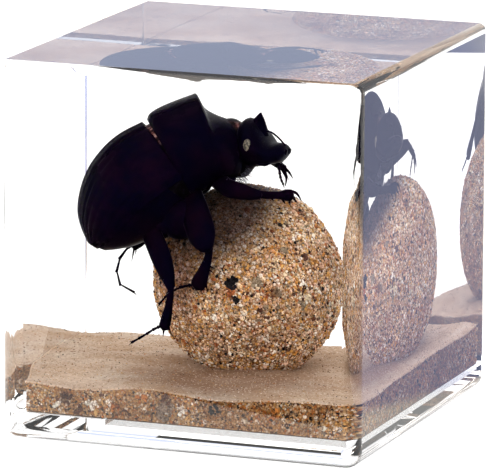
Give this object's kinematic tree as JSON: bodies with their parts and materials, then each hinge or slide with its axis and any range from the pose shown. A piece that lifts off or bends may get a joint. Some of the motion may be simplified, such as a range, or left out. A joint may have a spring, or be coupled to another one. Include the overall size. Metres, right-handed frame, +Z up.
{
  "type": "insect in resin block",
  "caption": "Clear resin block with rounded edges, holding a horned dung beetle on its sand-coated ball above a bed of sand.",
  "frame": {"origin": "middle of the block's flat base", "axes": "+Z up; the face that shows the beetle's right side looks along -Y; the beetle faces +X"},
  "size_m": [0.065, 0.0676, 0.065],
  "materials": {
    "clear_resin": "clear polished casting resin",
    "sand_mix": "bonded mixed sand",
    "sand_on_dung": "dung ball coated in mixed sand",
    "black_chitin": "glossy black insect shell"
  },
  "bodies": {
    "root": {"resin_lower": "clear_resin", "resin_upper": "clear_resin", "sand_bed": "sand_mix", "dung_ball": "sand_on_dung", "beetle_head": "black_chitin", "beetle_prothorax": "black_chitin", "beetle_hindbody": "black_chitin", "elytron_right": "black_chitin", "elytron_left": "black_chitin", "fore_leg_right": "black_chitin", "fore_leg_left": "black_chitin", "mid_leg_right": "black_chitin", "mid_leg_left": "black_chitin", "hind_leg_right": "black_chitin", "hind_leg_left": "black_chitin"}
  },
  "joints": []
}
